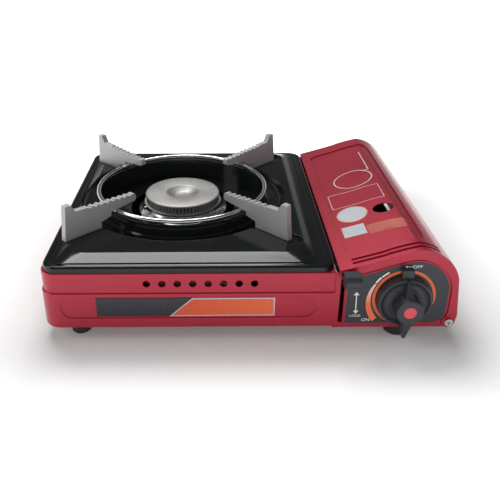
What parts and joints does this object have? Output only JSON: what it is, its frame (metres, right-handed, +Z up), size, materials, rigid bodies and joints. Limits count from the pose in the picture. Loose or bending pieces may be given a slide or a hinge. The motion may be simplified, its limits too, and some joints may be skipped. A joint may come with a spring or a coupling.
{
  "type": "butane cassette stove",
  "caption": "Portable single-burner gas stove with a hinged cartridge-bay lid, rotary valve knob, lock lever and a lift-off ring support with cast arms over an enamelled plate.",
  "frame": {"origin": "middle of the stove's footprint box, on the ground under the feet", "axes": "+X to the user's right, towards the cartridge bay; +Y to the back; +Z up"},
  "size_m": [0.3368, 0.286, 0.0997],
  "materials": {
    "red_paint": "gloss metallic dark red paint",
    "zinc_steel": "zinc plated sheet steel",
    "panel_print": "satin charcoal printed panel",
    "label_film": "two tone printed film",
    "screw_steel": "bright plated steel",
    "die_cast": "die cast alloy",
    "rubber": "matte black rubber",
    "brass": "turned brass",
    "black_plastic": "satin moulded plastic",
    "burner_alloy": "matte cast alloy",
    "burner_polish": "spun and polished alloy",
    "ceramic": "white glazed ceramic",
    "lead_cover": "silicone covered wire",
    "red_plastic": "red moulded insert",
    "black_enamel": "gloss black enamel",
    "ring_steel": "bright steel wire",
    "cast_alloy": "matte speckled casting"
  },
  "bodies": {
    "tray": {"body_shell": "red_paint", "foot_front_left": "rubber", "foot_front_right": "rubber", "foot_rear_left": "rubber", "foot_rear_right": "rubber", "bay_partition": "zinc_steel", "control_panel": "panel_print", "front_label": "label_film", "pivot_screws": "screw_steel", "lever_pivot": "screw_steel", "guide_rivets": "screw_steel", "governor_body": "die_cast", "inlet_seal": "rubber", "governor_cover": "die_cast", "governor_screws": "screw_steel", "governor_bracket": "zinc_steel", "gas_nozzle": "brass", "piezo_igniter": "black_plastic", "burner_cap": "burner_alloy", "burner_head": "burner_alloy", "burner_skirt": "burner_polish", "burner_base": "burner_alloy", "burner_screws": "screw_steel", "mixing_tube": "zinc_steel", "air_shutter": "zinc_steel", "electrode_ceramic": "ceramic", "electrode_needle": "screw_steel", "electrode_bracket": "zinc_steel", "ignition_lead": "lead_cover"},
    "lid": {"lid": "red_paint"},
    "knob": {"knob": "black_plastic", "knob_insert": "red_plastic", "valve_stem": "brass"},
    "lock_lever": {"lever_arm": "zinc_steel", "lever_pin": "screw_steel", "lever_handle": "black_plastic"},
    "carriage": {"carriage": "zinc_steel"},
    "top_plate": {"top_plate": "black_enamel", "windshield": "black_enamel"},
    "pot_support": {"support_ring": "ring_steel", "arm_rear_right": "cast_alloy", "arm_rear_left": "cast_alloy", "arm_front_left": "cast_alloy", "arm_front_right": "cast_alloy"}
  },
  "joints": [
    {"name": "lid_hinge", "type": "hinge", "parent": "tray", "child": "lid", "pos_m": [0.1619, 0.0095, 0.0157], "axis": [0, 1, 0], "range_deg": [0, 95]},
    {"name": "knob_turn", "type": "hinge", "parent": "tray", "child": "knob", "pos_m": [0.1223, -0.1205, 0.0385], "axis": [0, -1, 0], "range_deg": [0, 120]},
    {"name": "lever_turn", "type": "hinge", "parent": "tray", "child": "lock_lever", "pos_m": [0.0735, -0.0785, 0.0455], "axis": [1, 0, 0], "range_deg": [0, 32]},
    {"name": "carriage_slide", "type": "slide", "parent": "tray", "child": "carriage", "axis": [0, -1, 0], "range_m": [0, 0.00551]},
    {"name": "plate_lift", "type": "slide", "parent": "tray", "child": "top_plate", "axis": [0, 0, 1], "range_m": [0, 0.12]},
    {"name": "support_lift", "type": "slide", "parent": "top_plate", "child": "pot_support", "axis": [0, 0, 1], "range_m": [0, 0.06]}
  ],
  "couplings": [
    {"joint": "lever_turn", "follows": "carriage_slide", "rad_per_m": 101.31}
  ]
}
